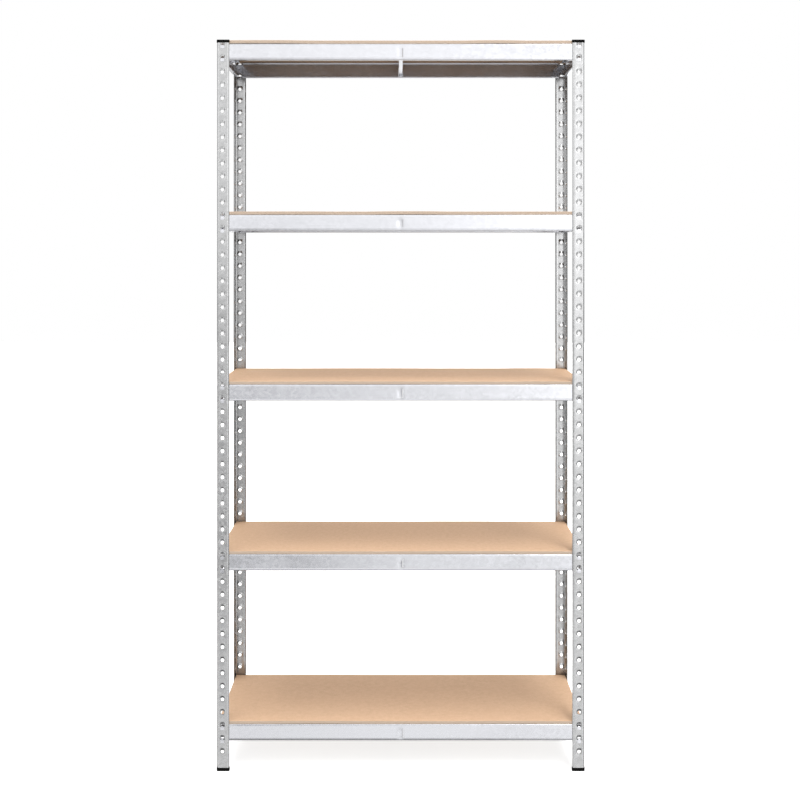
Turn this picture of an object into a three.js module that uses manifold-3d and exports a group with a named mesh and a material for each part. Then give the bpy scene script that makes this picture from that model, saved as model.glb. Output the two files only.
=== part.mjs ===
// Five-tier boltless steel shelving unit, millimetres, +Z up, front towards -Y.
// The origin is on the floor at the centre of the unit.
//
// Four corner posts are folded from galvanised sheet as angles, each in two lengths joined by a
// splice angle inside the corner. Every shelf is a ring of four channel beams whose hook lugs drop
// into keyhole slots in the posts, a crossbar between the long beams, and a loose board on top.

import * as THREE from 'three';
import { mergeGeometries, mergeVertices } from 'three/addons/utils/BufferGeometryUtils.js';
import Module from 'manifold-3d';

const wasm = await Module();
wasm.setup();

// ---- Driving dimensions ---------------------------------------------------------------------

const WIDTH = 900; // over the outer faces of the posts, along X
const DEPTH = 300; // over the outer faces of the posts, along Y
const HEIGHT = 1790; // floor to the top of the caps
const CLEARANCE = 0.3; // between pieces that rest on or pass through each other

const SHELF_COUNT = 5;
const SHELF_PITCH = 416; // thirteen slot pitches
const LOWEST_SHELF = 73.5; // floor to the underside of the lowest beams
const TOP_SHELF_RAISE = 3; // the top slots sit higher, so the top board ends level with the posts

const post = { flange: 30, sheet: 1.2, lip: 2.8, lipRadius: 6, cornerRadius: 4.5, joint: 922 };
const slot = { pitch: 32, first: 41.5, rows: 55, topWidth: 11, bottomWidth: 7, height: 13, fromCorner: 13.5 };
const splice = { sheet: 1, length: 104, reach: 26.5 };
const beam = { height: 40, sheet: 1, ledge: 14, hem: 9, hemRise: 4 };
const beamEnd = { fromCorner: 6.5, foldsFromCorner: 22 };
const lug = { shankWidth: 6, shankFrom: 0.6, shankTo: 2.2, headWidth: 9, headDrop: 4, headSheet: 0.8, play: 0.2 };
const lugWindow = { to: 7.4, width: 9 };
const crossbar = { width: 10, sheet: 1, underside: 7, tongueFrom: 8, tongueTo: 28, tongueProud: 0.2 };
const board = { thickness: 7.5, fromPostFace: 3.8 };
const cap = { wall: 0.6, play: 0.2, plate: 2, footHeight: 8, footBand: 8, topHeight: 7, topBand: 3.5 };

// ---- Values that follow from them -----------------------------------------------------------

const webFromPostFace = post.lip + CLEARANCE; // the beams bear on the lips of the posts
const postBottom = cap.plate + CLEARANCE;
const postTop = HEIGHT - cap.plate - CLEARANCE;
const ARC_STEPS = 1; // each bend has twice as many facets

const shelfIndexes = [...Array(SHELF_COUNT).keys()];
const shelfBase = (index) =>
  LOWEST_SHELF + index * SHELF_PITCH + (index === SHELF_COUNT - 1 ? TOP_SHELF_RAISE : 0);
const slotRows = [...Array(slot.rows).keys()].map(
  (row) => slot.first + row * slot.pitch + (row >= slot.rows - 2 ? TOP_SHELF_RAISE : 0));

// ---- Materials ------------------------------------------------------------------------------

const steel = () => new THREE.MeshStandardMaterial({ color: 0xc9cbce, roughness: 0.38, metalness: 0.9 });
const fibreboard = () => new THREE.MeshStandardMaterial({ color: 0xdcb894, roughness: 0.75, metalness: 0 });
const plastic = () => new THREE.MeshStandardMaterial({ color: 0x0c0c0d, roughness: 0.5, metalness: 0 });

// ---- Joining and cutting --------------------------------------------------------------------

function toSolid(geometry) {
  const bare = geometry.clone();
  bare.deleteAttribute('normal');
  bare.deleteAttribute('uv');
  const merged = mergeVertices(bare, 1e-4);
  const vertProperties = new Float32Array(merged.attributes.position.array);
  const triVerts = new Uint32Array(merged.index.array);
  return new wasm.Manifold(new wasm.Mesh({ numProp: 3, vertProperties, triVerts }));
}

function toGeometry(solid) {
  const mesh = solid.getMesh();
  const geometry = new THREE.BufferGeometry();
  geometry.setAttribute('position', new THREE.BufferAttribute(new Float32Array(mesh.vertProperties), 3));
  geometry.setIndex(new THREE.BufferAttribute(new Uint32Array(mesh.triVerts), 1));
  geometry.computeVertexNormals();
  return geometry;
}

const join = (...geometries) => toGeometry(geometries.map(toSolid).reduce((sum, next) => sum.add(next)));
const cut = (geometry, cutters) => toGeometry(toSolid(geometry).subtract(toSolid(mergeGeometries(cutters))));

// ---- Basic shapes ---------------------------------------------------------------------------

// A box given by its lowest and highest corners.
function block([x0, y0, z0], [x1, y1, z1]) {
  const box = new THREE.BoxGeometry(x1 - x0, y1 - y0, z1 - z0);
  return box.translate((x0 + x1) / 2, (y0 + y1) / 2, (z0 + z1) / 2);
}

function outline(points) {
  return new THREE.Shape(points.map(([x, y]) => new THREE.Vector2(x, y)));
}

const extrude = (shape, depth) =>
  new THREE.ExtrudeGeometry(shape, { depth, bevelEnabled: false, curveSegments: ARC_STEPS });

// A section drawn in (Y, Z), extruded along X and centred on X = 0.
function extrudeAlongX(shape, length) {
  const [x, y, z] = [new THREE.Vector3(1, 0, 0), new THREE.Vector3(0, 1, 0), new THREE.Vector3(0, 0, 1)];
  const turned = extrude(shape, length).applyMatrix4(new THREE.Matrix4().makeBasis(y, z, x));
  return turned.translate(-length / 2, 0, 0);
}

// A section drawn in (X, Z), extruded along Y and centred on Y = 0.
const extrudeAlongY = (shape, length) =>
  extrude(shape, length).rotateX(Math.PI / 2).translate(0, length / 2, 0);

// ---- Posts, splices and caps ----------------------------------------------------------------
//
// All of these are drawn in the frame of the front left corner: the two outer faces of the post
// are the planes x = 0 and y = 0, and the flanges run along +X and +Y.

// The angle section of a post with its free edges curled inwards, grown on every side by the given
// amount.
function postSection(grow = 0) {
  const { flange, sheet, lip, lipRadius, cornerRadius } = post;
  const lipTurn = Math.acos((lipRadius - lip) / (lipRadius - sheet));
  const bend = flange - lipRadius * Math.sin(lipTurn);
  const sweep = lipTurn + grow / lipRadius;
  const [outer, inner] = [lipRadius + grow, lipRadius - sheet - grow];
  const section = new THREE.Shape();
  section.absarc(bend, lipRadius, outer, sweep - Math.PI / 2, -Math.PI / 2, true);
  section.absarc(cornerRadius, cornerRadius, cornerRadius + grow, -Math.PI / 2, -Math.PI, true);
  section.absarc(lipRadius, bend, outer, Math.PI, Math.PI - sweep, true);
  section.absarc(lipRadius, bend, inner, Math.PI - sweep, Math.PI, false);
  section.absarc(cornerRadius, cornerRadius, cornerRadius - sheet - grow, Math.PI, 1.5 * Math.PI, false);
  section.absarc(bend, lipRadius, inner, -Math.PI / 2, sweep - Math.PI / 2, false);
  return section;
}

// A plain angle between two distances from the outer faces of the post.
function angleSection(outside, inside, reach) {
  const { cornerRadius } = post;
  const innerRadius = Math.max(cornerRadius - inside, 1);
  const innerCentre = inside + innerRadius;
  const section = new THREE.Shape();
  section.moveTo(reach, inside);
  section.lineTo(reach, outside);
  section.absarc(cornerRadius, cornerRadius, cornerRadius - outside, -Math.PI / 2, -Math.PI, true);
  section.lineTo(outside, reach);
  section.lineTo(inside, reach);
  section.absarc(innerCentre, innerCentre, innerRadius, Math.PI, 1.5 * Math.PI, false);
  return section;
}

// Keyhole slots, wide at the top, through both flanges at each of the given heights.
function slotCutters(rows) {
  const { topWidth, bottomWidth, height, fromCorner } = slot;
  const reach = post.lip + 2;
  const keyhole = outline([
    [-bottomWidth / 2, 0], [bottomWidth / 2, 0], [topWidth / 2, height], [-topWidth / 2, height],
  ]);
  const cutter = extrude(keyhole, reach).rotateX(Math.PI / 2);
  return rows.flatMap((row) => [
    cutter.clone().translate(fromCorner, reach - 1, row + CLEARANCE),
    cutter.clone().rotateZ(Math.PI / 2).translate(-1, fromCorner, row + CLEARANCE),
  ]);
}

function postHalf(bottom, top) {
  const blank = extrude(postSection(), top - bottom).translate(0, 0, bottom);
  const rows = slotRows.filter((row) => row > bottom && row < top);
  return cut(blank, slotCutters(rows));
}

function spliceAngle() {
  const outside = post.sheet + CLEARANCE;
  const bottom = post.joint - splice.length / 2;
  const top = post.joint + splice.length / 2;
  const blank = extrude(angleSection(outside, outside + splice.sheet, splice.reach), splice.length);
  const rows = slotRows.filter((row) => row > bottom && row < top);
  return cut(blank.translate(0, 0, bottom), slotCutters(rows));
}

// A moulded cap with a pocket for the end of the post, standing on its plate.
function endCap(height, band) {
  const skin = cap.wall + cap.play;
  const body = extrude(angleSection(-skin, band, post.flange + skin), height);
  const pocket = extrude(postSection(cap.play), height).translate(0, 0, cap.plate);
  return cut(body, [pocket]);
}

const footCap = () => endCap(cap.footHeight, cap.footBand);

// Turned over about the diagonal of the corner, so that it closes the post from above.
function topCap() {
  const turned = new THREE.Matrix4().set(0, 1, 0, 0, 1, 0, 0, 0, 0, 0, -1, HEIGHT, 0, 0, 0, 1);
  return endCap(cap.topHeight, cap.topBand).applyMatrix4(turned);
}

// ---- Beams, crossbars and boards ------------------------------------------------------------
//
// A beam is drawn with its outer face on y = 0, its inside towards +Y and its underside on z = 0.

function beamSection() {
  const { height, sheet, ledge, hem, hemRise } = beam;
  return outline([
    [0, 0], [hem, 0], [hem, hemRise], [hem - sheet, hemRise], [hem - sheet, sheet], [sheet, sheet],
    [sheet, height - sheet], [ledge, height - sheet], [ledge, height], [0, height],
  ]);
}

// A hook lug: a narrow shank out through the slot, then a wider head turned down over the post.
function hookLug(x, z) {
  const face = -(webFromPostFace + lug.play);
  const shank = block(
    [x - lug.shankWidth / 2, face - lug.headSheet / 2, z + lug.shankFrom],
    [x + lug.shankWidth / 2, beam.sheet / 2, z + lug.shankTo]);
  const head = block(
    [x - lug.headWidth / 2, face - lug.headSheet, z - lug.headDrop],
    [x + lug.headWidth / 2, face, z + lug.shankTo]);
  return [shank, head];
}

// span is the size of the unit along the beam, over the outer faces of the posts.
function channelBeam(span, hasCrossbarSlit) {
  const end = span / 2 - beamEnd.fromCorner;
  const foldEnd = span / 2 - beamEnd.foldsFromCorner;
  const lugX = span / 2 - slot.fromCorner;
  const lugPlaces = [-lugX, lugX].flatMap((x) => [0, slot.pitch].map((z) => [x, z]));
  const tab = ([from, to]) => block([from, 0, 0], [to, beam.sheet, beam.height]);
  const folded = extrudeAlongX(beamSection(), 2 * foldEnd);
  const tabs = [[-end, 1 - foldEnd], [foldEnd - 1, end]].map(tab);
  const cutters = lugPlaces.map(([x, z]) => block(
    [x - lugWindow.width / 2, -1, z + lug.shankTo],
    [x + lugWindow.width / 2, beam.sheet + 1, z + lugWindow.to]));
  if (hasCrossbarSlit) {
    const wall = crossbar.width / 2;
    cutters.push(block(
      [wall - crossbar.sheet - 2 * CLEARANCE, -1, crossbar.tongueFrom - 2 * CLEARANCE],
      [wall + 2 * CLEARANCE, beam.sheet + 1, crossbar.tongueTo + 2 * CLEARANCE]));
  }
  const sheet = cut(join(folded, ...tabs), cutters);
  return join(sheet, ...lugPlaces.flatMap(([x, z]) => hookLug(x, z)));
}

// An upright channel, notched under the ledges of the beams, with a tongue at each end.
function crossbarChannel() {
  const { width, sheet, underside, tongueFrom, tongueTo, tongueProud } = crossbar;
  const wall = width / 2;
  const end = DEPTH / 2 - webFromPostFace - beam.sheet - CLEARANCE;
  const notch = DEPTH / 2 - webFromPostFace - beam.ledge - CLEARANCE;
  const tongueEnd = DEPTH / 2 - webFromPostFace + tongueProud;
  const channel = extrudeAlongY(outline([
    [-wall, underside], [wall, underside], [wall, beam.height], [wall - sheet, beam.height],
    [wall - sheet, underside + sheet], [sheet - wall, underside + sheet],
    [sheet - wall, beam.height], [-wall, beam.height],
  ]), 2 * end);
  const clearOfLedge = beam.height - beam.sheet - CLEARANCE;
  const notches = [[-end - 1, -notch], [notch, end + 1]].map(([from, to]) => block(
    [-width, from, clearOfLedge], [width, to, beam.height + 1]));
  const frontTongue = block([wall - sheet, -tongueEnd, tongueFrom], [wall, 1 - end, tongueTo]);
  const backTongue = block([-wall, end - 1, tongueFrom], [sheet - wall, tongueEnd, tongueTo]);
  return join(cut(channel, notches), frontTongue, backTongue);
}

function shelfBoard() {
  const x = WIDTH / 2 - board.fromPostFace;
  const y = DEPTH / 2 - board.fromPostFace;
  const underside = beam.height + CLEARANCE;
  return block([-x, -y, underside], [x, y, underside + board.thickness]);
}

// ---- Assembly -------------------------------------------------------------------------------

function piece(name, geometry, material) {
  const mesh = new THREE.Mesh(geometry, material);
  mesh.name = name;
  return mesh;
}

const corners = [
  { name: 'front_left', x: -WIDTH / 2, y: -DEPTH / 2, turn: 0 },
  { name: 'front_right', x: WIDTH / 2, y: -DEPTH / 2, turn: Math.PI / 2 },
  { name: 'back_right', x: WIDTH / 2, y: DEPTH / 2, turn: Math.PI },
  { name: 'back_left', x: -WIDTH / 2, y: DEPTH / 2, turn: -Math.PI / 2 },
];

const cornerPieces = [
  { name: 'post_lower', geometry: postHalf(postBottom, post.joint - CLEARANCE / 2), material: steel },
  { name: 'post_upper', geometry: postHalf(post.joint + CLEARANCE / 2, postTop), material: steel },
  { name: 'splice', geometry: spliceAngle(), material: steel },
  { name: 'foot_cap', geometry: footCap(), material: plastic },
  { name: 'top_cap', geometry: topCap(), material: plastic },
];

const longBeam = channelBeam(WIDTH, true);
const shortBeam = channelBeam(DEPTH, false);
const beamX = WIDTH / 2 - webFromPostFace;
const beamY = DEPTH / 2 - webFromPostFace;

const shelfPieces = [
  { name: 'beam_front', geometry: longBeam, material: steel, x: 0, y: -beamY, turn: 0 },
  { name: 'beam_back', geometry: longBeam, material: steel, x: 0, y: beamY, turn: Math.PI },
  { name: 'beam_left', geometry: shortBeam, material: steel, x: -beamX, y: 0, turn: -Math.PI / 2 },
  { name: 'beam_right', geometry: shortBeam, material: steel, x: beamX, y: 0, turn: Math.PI / 2 },
  { name: 'crossbar', geometry: crossbarChannel(), material: steel, x: 0, y: 0, turn: 0 },
  { name: 'board', geometry: shelfBoard(), material: fibreboard, x: 0, y: 0, turn: 0 },
];

const shelving = new THREE.Group();

for (const corner of corners) {
  const group = new THREE.Group();
  group.position.set(corner.x, corner.y, 0);
  group.rotation.z = corner.turn;
  for (const { name, geometry, material } of cornerPieces) {
    group.add(piece(`${name}_${corner.name}`, geometry, material()));
  }
  shelving.add(group);
}

for (const index of shelfIndexes) {
  const group = new THREE.Group();
  group.position.z = shelfBase(index);
  for (const { name, geometry, material, x, y, turn } of shelfPieces) {
    const mesh = piece(`${name}_${index + 1}`, geometry, material());
    mesh.position.set(x, y, 0);
    mesh.rotation.z = turn;
    group.add(mesh);
  }
  shelving.add(group);
}

export default shelving;
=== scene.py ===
"""Looks for the boltless steel shelving: folded galvanised sheet, fibreboard shelves, moulded caps.

Lengths are in metres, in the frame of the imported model: +Z up, front towards -Y.
"""

import math

import bmesh
import bpy
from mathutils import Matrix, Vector
from mathutils.geometry import tessellate_polygon


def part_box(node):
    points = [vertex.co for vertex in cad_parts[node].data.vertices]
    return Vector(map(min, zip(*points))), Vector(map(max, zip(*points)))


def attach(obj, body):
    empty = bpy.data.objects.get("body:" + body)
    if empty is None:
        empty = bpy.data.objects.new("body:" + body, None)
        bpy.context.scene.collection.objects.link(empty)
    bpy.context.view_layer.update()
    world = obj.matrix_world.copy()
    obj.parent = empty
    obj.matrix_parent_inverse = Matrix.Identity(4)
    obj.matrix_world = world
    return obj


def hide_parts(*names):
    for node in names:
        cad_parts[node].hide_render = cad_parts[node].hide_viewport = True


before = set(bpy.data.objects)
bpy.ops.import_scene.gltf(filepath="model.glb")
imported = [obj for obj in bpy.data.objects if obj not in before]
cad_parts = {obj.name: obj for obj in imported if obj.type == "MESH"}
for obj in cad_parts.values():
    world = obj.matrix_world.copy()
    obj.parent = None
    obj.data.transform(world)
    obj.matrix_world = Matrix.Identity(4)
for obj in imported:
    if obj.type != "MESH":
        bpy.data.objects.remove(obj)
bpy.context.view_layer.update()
MM = 0.001

# ---- Sizes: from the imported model, and those of the sheet, its folds and its slots -----------

# corner: the sign of x, the sign of y, and the turn from the front left corner
CORNERS = {
    "front_left": (-1, -1, 0.0),
    "front_right": (1, -1, math.pi / 2),
    "back_right": (1, 1, math.pi),
    "back_left": (-1, 1, -math.pi / 2),
}
SHELVES = (1, 2, 3, 4, 5)

POST_LOW, POST_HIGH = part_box("post_lower_front_left")
HALF_WIDTH, HALF_DEPTH = -POST_LOW.x, -POST_LOW.y
FLANGE = POST_HIGH.x - POST_LOW.x
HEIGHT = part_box("top_cap_front_left")[1].z
POST_SHEET, POST_LIP = 1.2 * MM, 2.8 * MM
LIP_RADIUS, CORNER_RADIUS = 6.0 * MM, 4.5 * MM
SPLICE_SHEET, SPLICE_FACE, SPLICE_REACH = 1.0 * MM, 1.5 * MM, 26.5 * MM

SLOT_PITCH, SLOT_FROM_CORNER = 32 * MM, 13.5 * MM
SLOT_TOP, SLOT_BOTTOM, SLOT_HEIGHT, SLOT_RADIUS = 11 * MM, 7 * MM, 13 * MM, 1.4 * MM
SLOT_LIFT = 0.3 * MM  # from a row, where a beam hooks in, up to the lower edge of its slot

BEAM_SHEET, BEAM_HEIGHT, LEDGE, HEM, HEM_RISE = 1.0 * MM, 40 * MM, 14 * MM, 9 * MM, 4 * MM
WEB_FROM_POST_FACE = 3.1 * MM
FOLDS_FROM_CORNER, END_FROM_CORNER = 22 * MM, 6.5 * MM
LUG_DROP = 4 * MM  # how far the lowest lug hangs below its beam
SHELF_BASE = {k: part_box(f"beam_front_{k}")[0].z + LUG_DROP for k in SHELVES}


# ---- Mesh helpers ---------------------------------------------------------------------------

def span(start, end, steps):
    """steps + 1 evenly spaced values from start to end."""
    return [start + (end - start) * k / steps for k in range(steps + 1)]


def divided(values, longest):
    """The values, with evenly spaced ones put in where two are further apart than longest."""
    out = values[:1]
    for a, b in zip(values, values[1:]):
        out += span(a, b, max(1, math.ceil((b - a) / longest)))[1:]
    return out


def make_piece(name, shells, smooth_angle=40):
    """One object from closed shells of (vertices, faces), smooth except across sharper edges."""
    vertices, faces = [], []
    for shell_vertices, shell_faces in shells:
        faces += [[i + len(vertices) for i in face] for face in shell_faces]
        vertices += [tuple(v) for v in shell_vertices]
    mesh = bpy.data.meshes.new(name)
    mesh.from_pydata(vertices, [], faces)
    mesh.validate()
    work = bmesh.new()
    work.from_mesh(mesh)
    bmesh.ops.recalc_face_normals(work, faces=work.faces)
    work.to_mesh(mesh)
    work.free()
    mesh.shade_smooth()
    mesh.set_sharp_from_angle(angle=math.radians(smooth_angle))
    piece = bpy.data.objects.new(name, mesh)
    bpy.context.scene.collection.objects.link(piece)
    return piece


def arc(centre, radius, start, end, steps=4):
    """Points along an arc, from one angle to another."""
    return [Vector(centre) + radius * Vector((math.cos(a), math.sin(a))) for a in span(start, end, steps)]


def fillet(corner_points, radii, steps=4):
    """A 2D line with its inner corners rounded: the points that a folded sheet's face runs through."""
    points = [Vector(p) for p in corner_points]
    line = [points[0]]
    for before, corner, after, radius in zip(points, points[1:], points[2:], radii):
        into, out = (corner - before).normalized(), (after - corner).normalized()
        turn = math.atan2(into.x * out.y - into.y * out.x, into.dot(out))
        start = corner - into * radius * math.tan(abs(turn) / 2)
        spoke = Vector((into.y, -into.x)) * math.copysign(1, turn)
        angle = math.atan2(spoke.y, spoke.x)
        line += arc(start - spoke * radius, radius, angle, angle + turn, steps)
    line.append(points[-1])
    return line


class Blank:
    """A sheet-metal blank: a grid over (station along the section, length) that is folded to a section.

    line is the outer face of the section. side is +1 where that face looks to the right of the
    line's direction, and -1 where it looks to the left.
    """

    def __init__(self, line, side, sheet):
        self.line, self.side, self.sheet = line, side, sheet
        self.marks = [0.0]
        for a, b in zip(line, line[1:]):
            self.marks.append(self.marks[-1] + (b - a).length)
        self.stations = list(self.marks)
        self.points, self.quads, self.index = [], [], {}

    def station(self, x, y):
        """The station of the point of the section that is nearest to (x, y)."""
        point, best = Vector((x, y)), None
        for mark, a, b in zip(self.marks, self.line, self.line[1:]):
            along = b - a
            share = min(1, max(0, (point - a).dot(along) / along.length_squared))
            found = ((a + along * share - point).length, mark + share * along.length)
            best = found if best is None else min(best, found)
        return best[1]

    def cut(self, stations):
        """Adds grid lines at these stations."""
        self.stations += [s for s in stations if min(abs(s - t) for t in self.stations) > 1e-6]
        self.stations.sort()

    def bend_normal(self, k):
        """The outward normal at a point of the line, longer where the line turns."""
        last = len(self.line) - 1
        ahead = (self.line[min(k + 1, last)] - self.line[min(k, last - 1)]).normalized()
        behind = (self.line[max(k, 1)] - self.line[max(k - 1, 0)]).normalized()
        along = (ahead + behind).normalized()
        return Vector((along.y, -along.x)) * self.side / along.dot(ahead)

    def at(self, station):
        """The point and the outward normal of the section at a station."""
        k = next((k for k, m in enumerate(self.marks[1:]) if station <= m + 1e-9), len(self.line) - 2)
        share = (station - self.marks[k]) / (self.marks[k + 1] - self.marks[k])
        here = self.line[k].lerp(self.line[k + 1], share)
        return here, self.bend_normal(k).lerp(self.bend_normal(k + 1), share)

    def corner(self, station, length):
        """A grid point, shared by the quads around it."""
        key = (round(station * 1e7), round(length * 1e7))
        if key not in self.index:
            self.index[key] = self.loose(station, length, 0.0)
        return self.index[key]

    def loose(self, station, length, sink):
        """A point of its own, pressed in by sink."""
        self.points.append((station, length, sink))
        return len(self.points) - 1

    def fill(self, lengths, is_open=lambda station, length: False):
        """Quads over the grid, apart from those whose middle is_open says is cut away."""
        for s0, s1 in zip(self.stations, self.stations[1:]):
            for l0, l1 in zip(lengths, lengths[1:]):
                if not is_open((s0 + s1) / 2, (l0 + l1) / 2):
                    self.quads.append([self.corner(*p) for p in ((s0, l0), (s1, l0), (s1, l1), (s0, l1))])

    def pierce(self, stations, lengths, middle, rings):
        """Fills a block of the grid around a hole. Each ring gives (across, up, sink) at an angle."""
        border = [(s, lengths[0]) for s in stations[:-1]] + [(stations[-1], l) for l in lengths[:-1]]
        border += [(s, lengths[-1]) for s in reversed(stations[1:])]
        border += [(stations[0], l) for l in reversed(lengths[1:])]
        angles = [math.atan2(l - middle[1], s - middle[0]) for s, l in border]
        loops = [[self.corner(*p) for p in border]]
        for ring_at in rings:
            loop = []
            for angle in angles:
                across, up, sink = ring_at(angle)
                loop.append(self.loose(middle[0] + across, middle[1] + up, sink))
            loops.append(loop)
        for outer, inner in zip(loops, loops[1:]):
            for k in range(len(border)):
                after = (k + 1) % len(border)
                self.quads.append([outer[k], outer[after], inner[after], inner[k]])

    def fold(self, place, press=lambda point, length: 0.0):
        """The folded sheet as a shell; place(section point, length) gives a point of the object."""
        outer, inner = [], []
        for station, length, sink in self.points:
            here, normal = self.at(station)
            sunk = here - normal * (sink + press(here, length))
            outer.append(place(sunk, length))
            inner.append(place(sunk - normal * self.sheet, length))
        count = len(outer)
        edges = {edge for q in self.quads for edge in zip(q, q[1:] + q[:1])}
        faces = self.quads + [[i + count for i in reversed(q)] for q in self.quads]
        faces += [[b, a, a + count, b + count] for a, b in sorted(edges) if (b, a) not in edges]
        return outer + inner, faces


def corner_place(corner):
    """A function that puts a point of a corner (its flanges lie along x and y) at a height."""
    side_x, side_y, turn = CORNERS[corner]
    x, y, c, s = side_x * HALF_WIDTH, side_y * HALF_DEPTH, math.cos(turn), math.sin(turn)
    return lambda p, z: Vector((x + p.x * c - p.y * s, y + p.x * s + p.y * c, z))


# ---- Posts and splices ----------------------------------------------------------------------

def wedge(top, bottom, height, radius):
    """The distance from the middle of an upright rounded trapezoid to its edge at an angle."""
    top, bottom, half = top / 2, bottom / 2, height / 2
    corners = [(0, -half), (bottom, -half), (top, half), (-top, half), (-bottom, -half), (0, -half)]
    line = fillet(corners, (radius,) * 4, steps=6)
    polar = sorted((math.atan2(p.y, p.x), p.length) for p in line[:-1])
    polar = [(polar[-1][0] - math.tau, polar[-1][1])] + polar + [(polar[0][0] + math.tau, polar[0][1])]

    def reach(angle):
        for (a0, r0), (a1, r1) in zip(polar, polar[1:]):
            if a0 <= angle <= a1:
                share = (angle - a0) / max(a1 - a0, 1e-9)
                return 1 / ((1 - share) / r0 + share / r1)

    return reach


def ring(reach, growth, sink, drop=0.0):
    """A loop round a slot: its outline grown by growth, pressed in by sink and set lower by drop."""
    def point(angle):
        far = reach(angle) + growth
        return far * math.cos(angle), far * math.sin(angle) - drop, sink

    return point


def keyhole(share=1.0):
    """The outline of a slot, at a share of its size."""
    return wedge(SLOT_TOP * share, SLOT_BOTTOM * share, SLOT_HEIGHT * share, SLOT_RADIUS * share)


# The punch presses each slot of a post inwards, deepest at its foot, and leaves a smaller mouth open
# there. From the flange to the mouth: (share of the slot's size, growth, sink, drop).
PRESSING = ((1.0, 0.9 * MM, 0.0, 0.0), (1.0, 0.0, 0.12 * MM, 0.0),
            (0.78, 0.0, 1.6 * MM, 1.2 * MM), (0.62, 0.0, 1.8 * MM, 1.9 * MM))
POST_RINGS = [ring(keyhole(share), growth, sink, drop) for share, growth, sink, drop in PRESSING]
SPLICE_RINGS = [ring(keyhole(), 0.0, 0.0)]
# The grid around a slot, laid so that lines from its middle meet the corners of the slot.
CELL_ACROSS, CELL_MARGIN, CELL_STEPS = [x * MM for x in (-8, -7.2, -4.6, 0, 4.6, 7.2, 8)], 2 * MM, 6
LONGEST_QUAD = 5 * MM
END_MARGIN = 1 * MM  # of whole sheet between a slot and the end of its piece


def slot_rows():
    """The heights that beams can hook in at: evenly spaced, but for the two rows of the top shelf."""
    lowest, top = SHELF_BASE[SHELVES[0]] - SLOT_PITCH, SHELF_BASE[SHELVES[-1]]
    count = round((top - lowest) / SLOT_PITCH)
    return [lowest + k * SLOT_PITCH for k in range(count)] + [top, top + SLOT_PITCH]


DISH_WIDTH, DISH_HEIGHT, DISH_DEPTH = 6.5 * MM, 9 * MM, 0.2 * MM


def dish(point, length):
    """How far the flange is pressed in round its slots."""
    across = (max(point) - SLOT_FROM_CORNER) / DISH_WIDTH
    first = SHELF_BASE[SHELVES[0]] + SLOT_LIFT + SLOT_HEIGHT / 2
    along = ((length - first + SLOT_PITCH / 2) % SLOT_PITCH - SLOT_PITCH / 2) / DISH_HEIGHT
    return DISH_DEPTH * math.exp(-across * across - along * along)


def slotted_angle(name, node, corner, line, sheet, rings, press):
    """A folded angle in the place of a CAD node, with keyhole slots in both flanges."""
    low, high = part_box(node)
    blank = Blank(line, -1, sheet)
    face = min(p.y for p in line)
    middles = [blank.station(SLOT_FROM_CORNER, face), blank.station(face, SLOT_FROM_CORNER)]
    columns = [[m + x for x in CELL_ACROSS] for m in middles]
    for column in columns:
        blank.cut(column)
    lengths, cells = [low.z], []
    for row in slot_rows():
        bottom, top = row + SLOT_LIFT, row + SLOT_LIFT + SLOT_HEIGHT
        if low.z + END_MARGIN < bottom and top + END_MARGIN < high.z:
            cell_top = min(top + CELL_MARGIN, high.z - END_MARGIN / 2)
            cell = span(bottom - CELL_MARGIN, cell_top, CELL_STEPS)
            cells.append((cell, (bottom + top) / 2))
            lengths += cell
    lengths.append(high.z)

    def in_cell(station, length):
        return (any(c[0] < station < c[-1] for c in columns)
                and any(cell[0] < length < cell[-1] for cell, _ in cells))

    blank.fill(divided(lengths, LONGEST_QUAD), in_cell)
    for column, middle in zip(columns, middles):
        for cell, height in cells:
            blank.pierce(column, cell, (middle, height), rings)
    piece = make_piece(name, [blank.fold(corner_place(corner), press)])
    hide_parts(node)
    return piece


def post_line():
    """The outer face of a post: flanges whose free edges curl inwards, from tip to tip."""
    turn = math.acos((LIP_RADIUS - POST_LIP) / (LIP_RADIUS - POST_SHEET))
    bend = FLANGE - LIP_RADIUS * math.sin(turn)
    front = arc((bend, LIP_RADIUS), LIP_RADIUS, turn - math.pi / 2, -math.pi / 2, 6)
    corner = arc((CORNER_RADIUS, CORNER_RADIUS), CORNER_RADIUS, -math.pi / 2, -math.pi, 8)
    return front + corner + arc((LIP_RADIUS, bend), LIP_RADIUS, math.pi, math.pi - turn, 6)


def splice_line():
    """The outer face of a splice, which lies against the inside of a post."""
    return fillet([(SPLICE_REACH, SPLICE_FACE), (SPLICE_FACE, SPLICE_FACE), (SPLICE_FACE, SPLICE_REACH)],
                  (CORNER_RADIUS - SPLICE_FACE,))


# ---- Beams and crossbars --------------------------------------------------------------------

BEVEL_HEIGHT, BEVEL_DEPTH = 6.5 * MM, 0.55 * MM  # the foot of the face leans in
SLIT = {"from_x": 3.4 * MM, "to_x": 5.6 * MM, "from_z": 7.4 * MM, "to_z": 28.6 * MM}
DIMPLE = {"x": -1.5 * MM, "z": 18 * MM, "half_width": 7 * MM, "half_height": 12 * MM, "depth": 0.7 * MM}
BEAM_BENDS = (1.6 * MM, 3 * MM, 1.5 * MM, 1.2 * MM)  # from the ledge to the hem
ROWS_ABOVE_SLIT = [32 * MM, 35 * MM]  # grid rows where the dimple fades out
WINDOW_HALF, WINDOW_FROM, WINDOW_TO, WINDOW_MARGIN = 4.5 * MM, 4.8 * MM, 12 * MM, 0.8 * MM
LUG_PLAY = 0.2 * MM
LUG_FACE = WEB_FROM_POST_FACE + LUG_PLAY
LUG_SHEET, LUG_BEND, LUG_SHANK_HALF, LUG_HEAD_HALF = 0.8 * MM, 1.0 * MM, 2.5 * MM, 4.5 * MM


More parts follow.
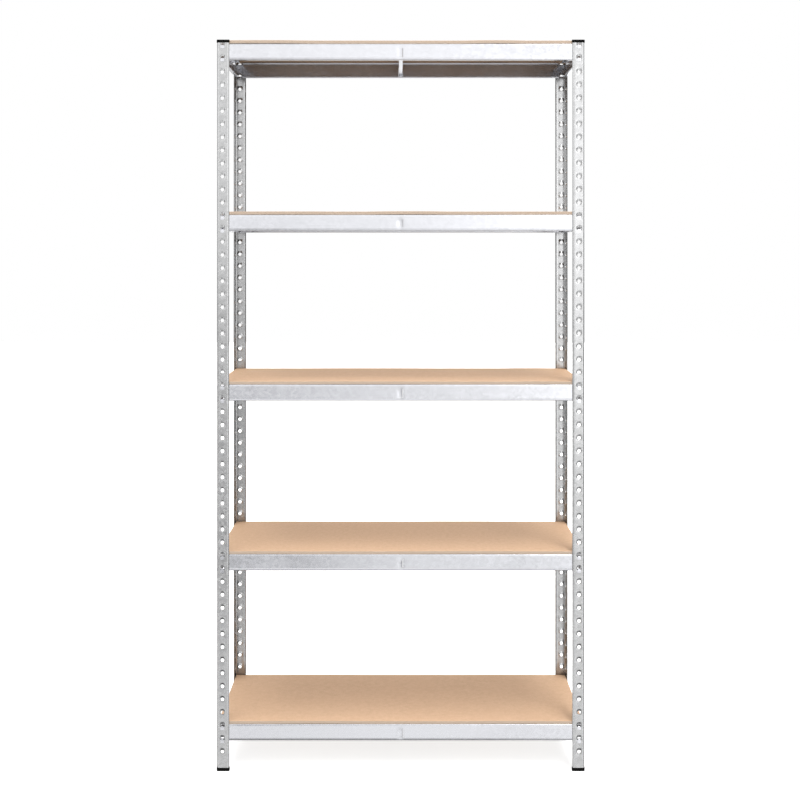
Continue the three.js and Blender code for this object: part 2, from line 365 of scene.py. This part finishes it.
def beam_place(turn, base):
    """A function that puts a point of a beam's section (depth behind its face, height) at a length."""
    along_x = abs(math.cos(turn)) > 0.5
    out = (HALF_DEPTH if along_x else HALF_WIDTH) - WEB_FROM_POST_FACE
    c, s = math.cos(turn), math.sin(turn)
    return lambda p, x: Vector((x * c - (p.x - out) * s, x * s + (p.x - out) * c, base + p.y))


def hook_lug(place, x, z):
    """A lug punched out of the web: a shank through the slot, and a wider head turned down over the post."""
    out = -(LUG_FACE + LUG_SHEET)
    root, top = 0.5 * MM, z + WINDOW_FROM
    line = fillet([(root, top), (out, top), (out, z - LUG_DROP)], (LUG_BEND,))
    blank = Blank(line, 1, LUG_SHEET)
    shoulder = blank.station(out, top - LUG_BEND)
    blank.cut([shoulder])
    lengths = [x - LUG_HEAD_HALF, x - LUG_SHANK_HALF, x + LUG_SHANK_HALF, x + LUG_HEAD_HALF]
    blank.fill(lengths, lambda station, length: station < shoulder and abs(length - x) > LUG_SHANK_HALF)
    return blank.fold(place)


def end_tab(place, x_from, x_to, lug_x):
    """The flat end of a beam's web, with the two windows that its lugs were punched from."""
    blank = Blank([Vector((0, BEAM_HEIGHT)), Vector((0, 0))], 1, BEAM_SHEET)
    windows = [(z + WINDOW_FROM, min(z + WINDOW_TO, BEAM_HEIGHT - WINDOW_MARGIN)) for z in (0, SLOT_PITCH)]
    blank.cut([BEAM_HEIGHT - z for window in windows for z in window])
    lengths = sorted([x_from, x_to, lug_x - WINDOW_HALF, lug_x + WINDOW_HALF])
    blank.fill(lengths, lambda station, length: abs(length - lug_x) < WINDOW_HALF
               and any(a < BEAM_HEIGHT - station < b for a, b in windows))
    return blank.fold(place)


def channel_beam(name, node, turn, base, has_slit):
    """A beam folded from one blank: ledge, face with a leaning foot, and a hem turned up inside."""
    half = HALF_WIDTH if abs(math.cos(turn)) > 0.5 else HALF_DEPTH
    fold_end, end, lug_x = half - FOLDS_FROM_CORNER, half - END_FROM_CORNER, half - SLOT_FROM_CORNER
    place = beam_place(turn, base)
    section = [(LEDGE, BEAM_HEIGHT), (0, BEAM_HEIGHT), (0, BEVEL_HEIGHT), (BEVEL_DEPTH, 0), (HEM, 0),
               (HEM, HEM_RISE)]
    blank = Blank(fillet(section, BEAM_BENDS), 1, BEAM_SHEET)
    lengths = span(-fold_end, fold_end, 12)
    if has_slit:
        reach = 2.2 * DIMPLE["half_width"]
        lengths = span(-fold_end, -reach, 8) + span(-reach, reach, 20) + span(reach, fold_end, 8)
        lengths = sorted({round(x, 7) for x in lengths + [SLIT["from_x"], SLIT["to_x"]]})
        rows = span(SLIT["from_z"], SLIT["to_z"], 8) + ROWS_ABOVE_SLIT
        blank.cut([blank.station(0, z) for z in rows])

    def in_slit(station, length):
        point, _ = blank.at(station)
        return (has_slit and point.x < BEAM_SHEET and SLIT["from_x"] < length < SLIT["to_x"]
                and SLIT["from_z"] < point.y < SLIT["to_z"])

    def dimple(point, length):
        if not has_slit or point.x > 0.2 * MM:
            return 0.0
        across = (length - DIMPLE["x"]) / DIMPLE["half_width"]
        up = (point.y - DIMPLE["z"]) / DIMPLE["half_height"]
        return DIMPLE["depth"] * math.exp(-across * across - up ** 4)

    blank.fill(lengths, in_slit)
    shells = [blank.fold(place, dimple)]
    for way in (-1, 1):
        ends = sorted([way * fold_end, way * end])
        shells.append(end_tab(place, ends[0], ends[1], way * lug_x))
        shells += [hook_lug(place, way * lug_x, z) for z in (0, SLOT_PITCH)]
    piece = make_piece(name, shells)
    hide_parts(node)
    return piece


def crossbar(name, node, base):
    """A channel, open to the board above, notched for the ledges and with a tongue at each end."""
    half, underside, wall_top, bend = 5 * MM, 7 * MM, BEAM_HEIGHT, 1.2 * MM
    tongue_low, tongue_high, notch_z, play = 8 * MM, 28 * MM, 38.7 * MM, 0.3 * MM
    tongue_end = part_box(node)[1].y
    body_end = HALF_DEPTH - WEB_FROM_POST_FACE - BEAM_SHEET - play
    notch = HALF_DEPTH - WEB_FROM_POST_FACE - LEDGE - play
    line = fillet([(-half, wall_top), (-half, underside), (half, underside), (half, wall_top)], (bend, bend))
    blank = Blank(line, 1, BEAM_SHEET)
    tongue_z = tongue_low + bend
    blank.cut([blank.station(x, z) for x in (-half, half) for z in (notch_z, tongue_high, tongue_z)])

    def cut_away(station, length):
        point, _ = blank.at(station)
        if abs(length) > body_end:
            own_wall = point.x * length < 0 and abs(point.x) > half - 1e-5
            return not (own_wall and tongue_z < point.y < tongue_high)
        return abs(length) > notch and point.y > notch_z

    blank.fill([-tongue_end, -body_end, -notch, 0, notch, body_end, tongue_end], cut_away)
    piece = make_piece(name, [blank.fold(lambda p, y: Vector((p.x, y, base + p.y)))])
    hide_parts(node)
    return piece


# ---- Boards and caps ------------------------------------------------------------------------

# Where the front and back edges of a board rise off the beams: (x of the middle, half length, rise).
WARPS = {
    1: [(-0.21, 0.10, 0.5 * MM), (0.27, 0.08, 0.4 * MM)],
    2: [(0.16, 0.12, 0.5 * MM), (-0.33, 0.07, 0.4 * MM)],
    3: [(-0.09, 0.14, 0.4 * MM), (0.35, 0.06, 0.5 * MM)],
    4: [(0.02, 0.08, 0.8 * MM), (-0.28, 0.10, 0.4 * MM)],
    5: [(-0.34, 0.10, 1.1 * MM), (0.23, 0.06, 0.9 * MM)],
}
BOARD_EDGE = 0.5 * MM
BOARD_SQUARES = (60, 10)  # along and across


def board(name, node, shelf):
    """A sawn fibreboard with its arrises just broken, whose long edges rise a little here and there."""
    low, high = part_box(node)

    def rise(x, y):
        edge = (2 * y / (high.y - low.y)) ** 4
        return edge * sum(h * math.exp(-(((x - x0) / w) ** 4)) for x0, w, h in WARPS[shelf])

    def grid(start, end, squares):
        return [start, start + BOARD_EDGE] + span(start, end, squares)[1:-1] + [end - BOARD_EDGE, end]

    xs, ys = grid(low.x, high.x, BOARD_SQUARES[0]), grid(low.y, high.y, BOARD_SQUARES[1])
    last_x, last_y = len(xs) - 1, len(ys) - 1
    vertices, index = [], {}

    def vertex(i, j, level):
        key = (i, j, level)
        if key not in index:
            on_side = i in (0, last_x) or j in (0, last_y)
            z = low.z + BOARD_EDGE if level == "low" else high.z - BOARD_EDGE
            if not on_side:
                z = low.z if level == "low" else high.z
            index[key] = len(vertices)
            vertices.append((xs[i], ys[j], z + rise(xs[i], ys[j])))
        return index[key]

    faces = []
    for i in range(last_x):
        for j in range(last_y):
            square = [(i, j), (i + 1, j), (i + 1, j + 1), (i, j + 1)]
            faces.append([vertex(a, b, "high") for a, b in square])
            faces.append([vertex(a, b, "low") for a, b in reversed(square)])
    round_trip = [(i, 0) for i in range(last_x)] + [(last_x, j) for j in range(last_y)]
    round_trip += [(i, last_y) for i in range(last_x, 0, -1)] + [(0, j) for j in range(last_y, 0, -1)]
    for a, b in zip(round_trip, round_trip[1:] + round_trip[:1]):
        faces.append([vertex(*a, "low"), vertex(*b, "low"), vertex(*b, "high"), vertex(*a, "high")])
    piece = make_piece(name, [(vertices, faces)], smooth_angle=30)
    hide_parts(node)
    return piece


CAP_SKIN, CAP_PLATE, CAP_PLAY = 0.8 * MM, 2 * MM, 0.2 * MM
FOOT_BAND, TOP_BAND = 8 * MM, 3.5 * MM  # how wide a cap is along each flange
CAP_RADII = [r * MM for r in (0.9, 1.6, 3.8, 1.6, 0.9)]  # round the outline, from one flange to the other
CAP_INNER_RADIUS = 0.6 * MM


def cap_outline(band, inset):
    """The closed outline of a cap round a post, drawn in by inset."""
    outside, inside, reach = inset - CAP_SKIN, band - inset, FLANGE + CAP_SKIN - inset
    start = ((inside + reach) / 2, inside)
    corners = [start, (reach, inside), (reach, outside), (outside, outside), (outside, reach),
               (inside, reach), (inside, inside), start]
    radii = [max(0.1 * MM, radius - inset) for radius in CAP_RADII]
    return fillet(corners, radii + [CAP_INNER_RADIUS])[:-1]


def cap_pocket():
    """The closed outline of the pocket that the end of a post stands in."""
    line = Blank(post_line(), -1, POST_SHEET)
    sides = [[], []]
    for k, mark in enumerate(line.marks):
        here, normal = line.at(mark)
        if k in (0, len(line.marks) - 1):
            inner_neighbour = line.line[1] if k == 0 else line.line[-2]
            here = here + (here - inner_neighbour).normalized() * CAP_PLAY
        sides[0].append(here + normal * CAP_PLAY)
        sides[1].append(here - normal * (POST_SHEET + CAP_PLAY))
    return sides[0] + sides[1][::-1]


def moulded_cap(name, node, corner, band, on_top):
    """A cap with rounded edges: a plate, a skirt round the post and the pocket between."""
    low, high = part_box(node)
    tall = high.z - low.z
    place = corner_place(corner)
    # Loops up the outside, as (height, inset), and then down the pocket.
    profile = [(0, 0.7 * MM), (0.2 * MM, 0.22 * MM), (0.7 * MM, 0), (tall - 0.3 * MM, 0), (tall, 0.2 * MM)]
    loops = [[(p, z) for p in cap_outline(band, inset)] for z, inset in profile]
    pocket = cap_pocket()
    loops += [[(p, z) for p in pocket] for z in (tall, CAP_PLATE)]
    starts, flat = [], []
    for loop in loops:
        starts.append(len(flat))
        flat += loop
    # The plate, the walls between loops, the rim round the pocket and the pocket's floor.
    faces = [list(range(len(loops[0])))]
    for k in (0, 1, 2, 3, 5):
        size = len(loops[k])
        for i in range(size):
            after = (i + 1) % size
            faces.append([starts[k] + i, starts[k] + after, starts[k + 1] + after, starts[k + 1] + i])
    rim = [[p.to_3d() for p, _ in loops[4]], [p.to_3d() for p, _ in loops[5]]]
    rim_index = [starts[4] + i for i in range(len(loops[4]))] + [starts[5] + i for i in range(len(loops[5]))]
    faces += [[rim_index[i] for i in triangle] for triangle in tessellate_polygon(rim)]
    faces.append([starts[6] + i for i in range(len(pocket))])
    if on_top:
        vertices = [place(Vector((p.y, p.x)), HEIGHT - z) for p, z in flat]
    else:
        vertices = [place(p, z) for p, z in flat]
    piece = make_piece(name, [(vertices, faces)])
    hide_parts(node)
    return piece


# ---- Materials ------------------------------------------------------------------------------

class Nodes:
    """A node tree: add() makes a node, feeding its sockets with values or other nodes' outputs."""

    def __init__(self, tree):
        self.tree, self.nodes, self.links = tree, tree.nodes, tree.links

    def add(self, kind, inputs=(), **settings):
        node = self.nodes.new("ShaderNode" + kind)
        for key, value in settings.items():
            setattr(node, key, value)
        for socket, value in dict(inputs).items():
            self.put(node.inputs[socket], value)
        return node

    def put(self, socket, value):
        if isinstance(value, bpy.types.NodeSocket):
            self.links.new(value, socket)
        else:
            socket.default_value = value

    def remap(self, value, low, high, to_low, to_high):
        inputs = {"Value": value, "From Min": low, "From Max": high, "To Min": to_low, "To Max": to_high}
        return self.add("MapRange", inputs).outputs["Result"]

    def math(self, operation, a, b=0.0):
        return self.add("Math", {0: a, 1: b}, operation=operation).outputs["Value"]


class Look(Nodes):
    """A node material around one Principled shader."""

    def __init__(self, name, metallic, **shader):
        self.material = bpy.data.materials.new(name)
        self.material.use_nodes = True
        super().__init__(self.material.node_tree)
        self.shader = self.nodes["Principled BSDF"]
        self.shader.inputs["Metallic"].default_value = metallic
        for socket, value in shader.items():
            self.shader.inputs[socket.replace("_", " ")].default_value = value
        self.place = self.add("TexCoord").outputs["Object"]

    def scaled(self, x, y, z):
        return self.add("Mapping", {"Vector": self.place, "Scale": (x, y, z)}).outputs["Vector"]

    def noise(self, scale, detail=3, roughness=0.55, vector=None):
        inputs = {"Vector": vector or self.place, "Scale": scale, "Detail": detail, "Roughness": roughness}
        return self.add("TexNoise", inputs).outputs["Fac"]

    def mix(self, factor, a, b, blend="MIX"):
        """Mixes two colours, each a node's output or (red, green, blue)."""
        node = self.add("Mix", data_type="RGBA", blend_type=blend)
        self.put(node.inputs[0], factor)
        for socket, colour in ((node.inputs[6], a), (node.inputs[7], b)):
            self.put(socket, (*colour, 1) if isinstance(colour, tuple) else colour)
        return node.outputs[2]

    def feed(self, socket, value):
        self.links.new(value, self.shader.inputs[socket])

    def bump(self, height, strength, distance):
        node = self.add("Bump", {"Height": height, "Strength": strength, "Distance": distance})
        self.feed("Normal", node.outputs["Normal"])


def galvanised(name, rolling, tone, relief, dullness):
    """Zinc-coated sheet: faint crystals, rolling lines along the piece, rubbed and cloudy patches."""
    look = Look(name, 1.0)
    wobble = look.noise(60, 2)
    drift = look.add("CombineXYZ", {"X": look.math("MULTIPLY", wobble, 0.006),
                                    "Y": look.math("MULTIPLY", wobble, 0.005),
                                    "Z": look.math("MULTIPLY", wobble, 0.007)}).outputs["Vector"]
    shifted = look.add("VectorMath", {0: look.place, 1: drift}, operation="ADD").outputs["Vector"]
    crystals = look.add("TexVoronoi", {"Vector": shifted, "Scale": 150.0}, feature="F1")
    crystal = look.add("SeparateColor", {"Color": crystals.outputs["Color"]}).outputs["Red"]
    lines = look.noise(1.0, 4, 0.6, look.scaled(*rolling))
    clouds = look.noise(9, 4, 0.6)
    fine = look.noise(1400, 2)
    spread = 0.02 + 0.06 * relief
    level = look.math("ADD", look.remap(crystal, 0, 1, -spread, spread),
                      look.remap(lines, 0.3, 0.7, -0.02, 0.02))
    level = look.math("ADD", level, look.remap(clouds, 0.3, 0.7, 0.97, 1.01))
    shade = look.add("CombineColor", {"Red": level, "Green": level, "Blue": level}).outputs["Color"]
    look.feed("Base Color", look.mix(1.0, tone, shade, "MULTIPLY"))
    rough = look.math("ADD", look.remap(clouds, 0.3, 0.7, dullness, dullness + 0.05),
                      look.remap(crystal, 0, 1, -0.02, 0.03))
    look.feed("Roughness", look.math("ADD", rough, look.remap(fine, 0.3, 0.7, -0.01, 0.02)))
    height = look.math("ADD", look.math("MULTIPLY", lines, 0.5), look.math("MULTIPLY", crystal, 0.25))
    look.bump(look.math("ADD", height, look.math("MULTIPLY", fine, 0.25)), 0.12 * relief, 0.0004)
    return look.material


def fibreboard(name):
    """Raw fibreboard: fine pale and dark fibres on the faces, sawn layers on the edges, and painted shade on
    the underside.
    """
    look = Look(name, 0.0, Specular_IOR_Level=0.25)
    facing = look.add("SeparateXYZ", {"Vector": look.add("NewGeometry").outputs["Normal"]}).outputs["Z"]
    on_edge = look.remap(look.math("ABSOLUTE", facing), 0.4, 0.8, 1.0, 0.0)
    fibres = look.noise(420, 6, 0.72)
    clumps = look.noise(95, 5, 0.65)
    patches = look.noise(7, 3, 0.5)
    flecks = look.add("TexVoronoi", {"Vector": look.place, "Scale": 260.0}, feature="F1").outputs["Distance"]
    dark_fleck = look.remap(flecks, 0.05, 0.12, 0.35, 0.0)
    pale, tan = (0.78, 0.535, 0.36), (0.58, 0.37, 0.225)
    rubbed, dark = (0.70, 0.46, 0.295), (0.36, 0.22, 0.13)
    # A darker, greyer copy of the face colours: painted shade for the underside of the board.
    underside_shade_pale, underside_shade_tan = (0.50, 0.405, 0.31), (0.36, 0.285, 0.215)
    sawn_pale, sawn_tan = (0.50, 0.40, 0.32), (0.39, 0.30, 0.225)
    mottle = look.math("ADD", look.remap(fibres, 0.25, 0.75, 0.0, 0.55),
                       look.remap(clumps, 0.3, 0.7, 0.0, 0.45))
    face = look.mix(mottle, pale, tan)
    face = look.mix(look.remap(patches, 0.35, 0.65, 0.0, 0.35), face, rubbed)
    face = look.mix(dark_fleck, face, dark)
    # Painted shade: faces that look down are mixed towards the darker, greyer underside colours.
    underside_shade = look.remap(facing, -0.8, -0.4, 0.9, 0.0)
    face = look.mix(underside_shade, face, look.mix(mottle, underside_shade_pale, underside_shade_tan))
    layers = look.noise(1.0, 5, 0.7, look.scaled(160, 160, 1700))
    edge = look.mix(look.remap(layers, 0.3, 0.7, 0.0, 1.0), sawn_pale, sawn_tan)
    look.feed("Base Color", look.mix(on_edge, face, edge))
    look.feed("Roughness", look.remap(fibres, 0.3, 0.7, 0.68, 0.86))
    look.bump(look.math("ADD", fibres, look.math("MULTIPLY", clumps, 0.6)), 0.25, 0.0004)
    return look.material


def black_plastic(name):
    """Moulded black plastic with a fine sparked grain and a few dull rubs."""
    look = Look(name, 0.0, Specular_IOR_Level=0.05)
    grain = look.noise(2200, 3, 0.6)
    rubs = look.noise(70, 4, 0.6)
    black, rubbed = (0.002, 0.002, 0.002), (0.005, 0.005, 0.005)
    look.feed("Base Color", look.mix(look.remap(rubs, 0.4, 0.7, 0.0, 1.0), black, rubbed))
    look.feed("Roughness", look.remap(rubs, 0.3, 0.7, 0.42, 0.6))
    look.bump(grain, 0.3, 0.0002)
    return look.material


# ---- Stage ----------------------------------------------------------------------------------

CAMERA_BACK = 2.70  # from the front faces of the posts
CAMERA_HEIGHT = 1.282
CAMERA_X = -1.8 * MM
SENSOR = 36.0
FOCAL = 49.66
HORIZON_SHIFT = -0.191  # brings the whole height of the unit into the picture


def add_camera():
    camera = bpy.data.cameras.new("camera")
    camera.sensor_width, camera.lens, camera.shift_y = SENSOR, FOCAL, HORIZON_SHIFT
    camera.clip_start, camera.clip_end = 0.05, 100
    holder = bpy.data.objects.new("camera", camera)
    holder.location = (CAMERA_X, -HALF_DEPTH - CAMERA_BACK, CAMERA_HEIGHT)
    holder.rotation_euler = (math.pi / 2, 0, 0)
    bpy.context.scene.collection.objects.link(holder)
    bpy.context.scene.camera = holder


KEY_PLACE, KEY_AIM = Vector((1.6, -2.6, 4.2)), Vector((0, 0, 0.9))
KEY_SIZE, KEY_POWER = 1.6, 62


def add_key_light():
    """A square softbox high on the right, in front of the object."""
    light = bpy.data.lights.new("key", "AREA")
    light.shape, light.size, light.energy = "SQUARE", KEY_SIZE, KEY_POWER
    holder = bpy.data.objects.new("key", light)
    holder.location = KEY_PLACE
    holder.rotation_euler = (KEY_AIM - KEY_PLACE).to_track_quat("-Z", "Y").to_euler()
    bpy.context.scene.collection.objects.link(holder)


FLOOR_HALF, FLOOR_GLOW = 12, 0.62


def add_floor():
    """A plain pale floor: it is lit a little from within, and it throws no light back at the object."""
    mesh = bpy.data.meshes.new("floor")
    corners = [(x * FLOOR_HALF, y * FLOOR_HALF, 0) for x, y in ((-1, -1), (1, -1), (1, 1), (-1, 1))]
    mesh.from_pydata(corners, [], [(0, 1, 2, 3)])
    floor = bpy.data.objects.new("floor", mesh)
    bpy.context.scene.collection.objects.link(floor)
    look = Look("studio_floor", 0.0, Roughness=0.8, Emission_Strength=FLOOR_GLOW)
    look.shader.inputs["Base Color"].default_value = (0.9, 0.9, 0.9, 1)
    look.shader.inputs["Emission Color"].default_value = (1, 1, 1, 1)
    mesh.materials.append(look.material)
    floor.visible_diffuse = False
    floor.visible_glossy = False


# The studio around the object, as (direction cosine, brightness) along each axis; the three multiply.
ROOM_ACROSS = ((-1, 1.9), (-0.85, 1.4), (-0.6, 0.85), (-0.46, 1.0), (-0.37, 2.0), (-0.3, 1.6), (-0.24, 0.92),
               (-0.16, 0.83), (-0.1, 0.9), (-0.05, 0.96), (0, 1.0), (0.1, 1.04), (0.14, 1.11), (0.17, 1.5),
               (0.2, 2.5), (0.28, 2.6), (0.36, 1.3), (0.48, 0.9), (0.6, 0.85), (0.85, 1.4), (1, 1.9))
ROOM_BACK = ((-1, 1.27), (-0.8, 1.2), (-0.5, 0.8), (0, 0.5), (0.35, 0.25), (0.7, 0.3), (0.9, 1.1), (1, 1.3))
ROOM_UP = ((-1, 0.04), (-0.9, 0.12), (-0.8, 0.32), (-0.67, 0.32), (-0.6, 0.75), (-0.5, 1.15), (-0.41, 1.27),
           (-0.33, 1.20), (-0.26, 1.10), (-0.12, 1.15), (-0.03, 1.27), (0.02, 1.30), (0.2, 1.38),
           (0.45, 0.95), (0.6, 0.95), (0.8, 0.8), (0.93, 4.8), (1, 7.0))
ROOM_MOST = 8.0  # the profiles are drawn to this scale
# Cards and gaps between softboxes that the metal mirrors: (across, up, half width, half height, gain).
PATCHES = (
    (-0.19, -0.257, 0.115, 0.045, -0.95),
    (-0.20, -0.13, 0.10, 0.06, -0.30),
    (0.22, -0.33, 0.09, 0.20, -0.40),
    (0.22, -0.29, 0.09, 0.04, -0.35),
    (0.20, -0.46, 0.10, 0.06, -0.65),
    (0.20, 0.19, 0.10, 0.07, -0.55),
    (-0.65, -0.09, 0.42, 0.060, -0.95),
    (-0.65, -0.265, 0.42, 0.040, -0.95),
    (0.75, -0.09, 0.40, 0.060, -0.90),
    (0.75, -0.265, 0.40, 0.040, -0.90),
)


def add_world():
    """White where the camera sees it; around the sheet metal a soft room with a few dark cards."""
    world = bpy.data.worlds.new("studio")
    bpy.context.scene.world = world
    world.use_nodes = True
    studio = Nodes(world.node_tree)
    toward = studio.add("SeparateXYZ", {"Vector": studio.add("TexCoord").outputs["Generated"]}).outputs

    def profile(axis, points):
        curve = studio.add("FloatCurve", {"Value": studio.remap(toward[axis], -1, 1, 0, 1)})
        spots = curve.mapping.curves[0].points
        for spot, (cosine, level) in zip(spots, (points[0], points[-1])):
            spot.location = ((cosine + 1) / 2, level / ROOM_MOST)
        for cosine, level in points[1:-1]:
            spots.new((cosine + 1) / 2, level / ROOM_MOST)
        curve.mapping.update()
        return studio.math("MULTIPLY", curve.outputs["Value"], ROOM_MOST)

    def apart(axis, middle, half):
        offset = studio.math("SUBTRACT", toward[axis], middle)
        return studio.math("POWER", studio.math("DIVIDE", offset, half), 2.0)

    level = studio.math("MULTIPLY", profile("X", ROOM_ACROSS), profile("Y", ROOM_BACK))
    level = studio.math("MULTIPLY", level, profile("Z", ROOM_UP))
    for across, up, half_width, half_height, gain in PATCHES:
        far = studio.math("ADD", apart("X", across, half_width), apart("Z", up, half_height))
        change = studio.math("MULTIPLY", studio.math("EXPONENT", studio.math("MULTIPLY", far, -1.0)), gain)
        level = studio.math("MULTIPLY", level, studio.math("ADD", change, 1.0))

    room = studio.add("Background", {"Color": level}).outputs["Background"]
    backdrop = studio.add("Background", {"Color": (1, 1, 1, 1)}).outputs["Background"]
    seen = studio.add("LightPath").outputs["Is Camera Ray"]
    chosen = studio.add("MixShader", {0: seen, 1: room, 2: backdrop}).outputs["Shader"]
    studio.put(studio.nodes["World Output"].inputs["Surface"], chosen)


# ---- Assembly -------------------------------------------------------------------------------

POST_STEEL = {"tone": (0.40, 0.402, 0.405), "relief": 0.8, "dullness": 0.21}
BEAM_STEEL = {"tone": (0.548, 0.553, 0.58), "relief": 0.12, "dullness": 0.17}
ALONG_X, ALONG_Y, ALONG_Z = (6, 700, 700), (700, 6, 700), (700, 700, 6)  # scales of the rolling lines


def dress(piece, body, material):
    """Gives a piece its material and the body it rides on."""
    piece.data.materials.append(material)
    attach(piece, body)


def build_corners():
    plastic = black_plastic("moulded_black")
    sheet = galvanised("galvanised_post", ALONG_Z, **POST_STEEL)
    for corner in CORNERS:
        for part in ("post_lower", "post_upper"):
            node = f"{part}_{corner}"
            post = slotted_angle(f"folded_{node}", node, corner, post_line(), POST_SHEET, POST_RINGS, dish)
            dress(post, "frame", sheet)
        node = f"splice_{corner}"
        splice = slotted_angle(f"folded_{node}", node, corner, splice_line(), SPLICE_SHEET, SPLICE_RINGS,
                               lambda point, length: 0.0)
        dress(splice, "frame", sheet)
        for part, band, on_top in (("foot_cap", FOOT_BAND, False), ("top_cap", TOP_BAND, True)):
            node = f"{part}_{corner}"
            dress(moulded_cap(f"moulded_{node}", node, corner, band, on_top), "frame", plastic)


def build_shelves():
    long_sheet = galvanised("galvanised_long_beam", ALONG_X, **BEAM_STEEL)
    short_sheet = galvanised("galvanised_side_beam", ALONG_Y, **BEAM_STEEL)
    wood = fibreboard("raw_fibreboard")
    sides = (("front", 0.0, long_sheet), ("back", math.pi, long_sheet),
             ("left", -math.pi / 2, short_sheet), ("right", math.pi / 2, short_sheet))
    for shelf in SHELVES:
        base = SHELF_BASE[shelf]
        for side, turn, sheet in sides:
            node = f"beam_{side}_{shelf}"
            has_slit = side in ("front", "back")
            beam = channel_beam(f"folded_{node}", node, turn, base, has_slit)
            dress(beam, "frame", sheet)
        node = f"crossbar_{shelf}"
        dress(crossbar(f"folded_{node}", node, base), "frame", short_sheet)
        node = f"board_{shelf}"
        dress(board(f"sawn_{node}", node, shelf), f"shelf_board_{shelf}", wood)


add_camera()
add_world()
add_floor()
add_key_light()
bpy.context.scene.view_settings.view_transform = "Standard"
build_corners()
build_shelves()
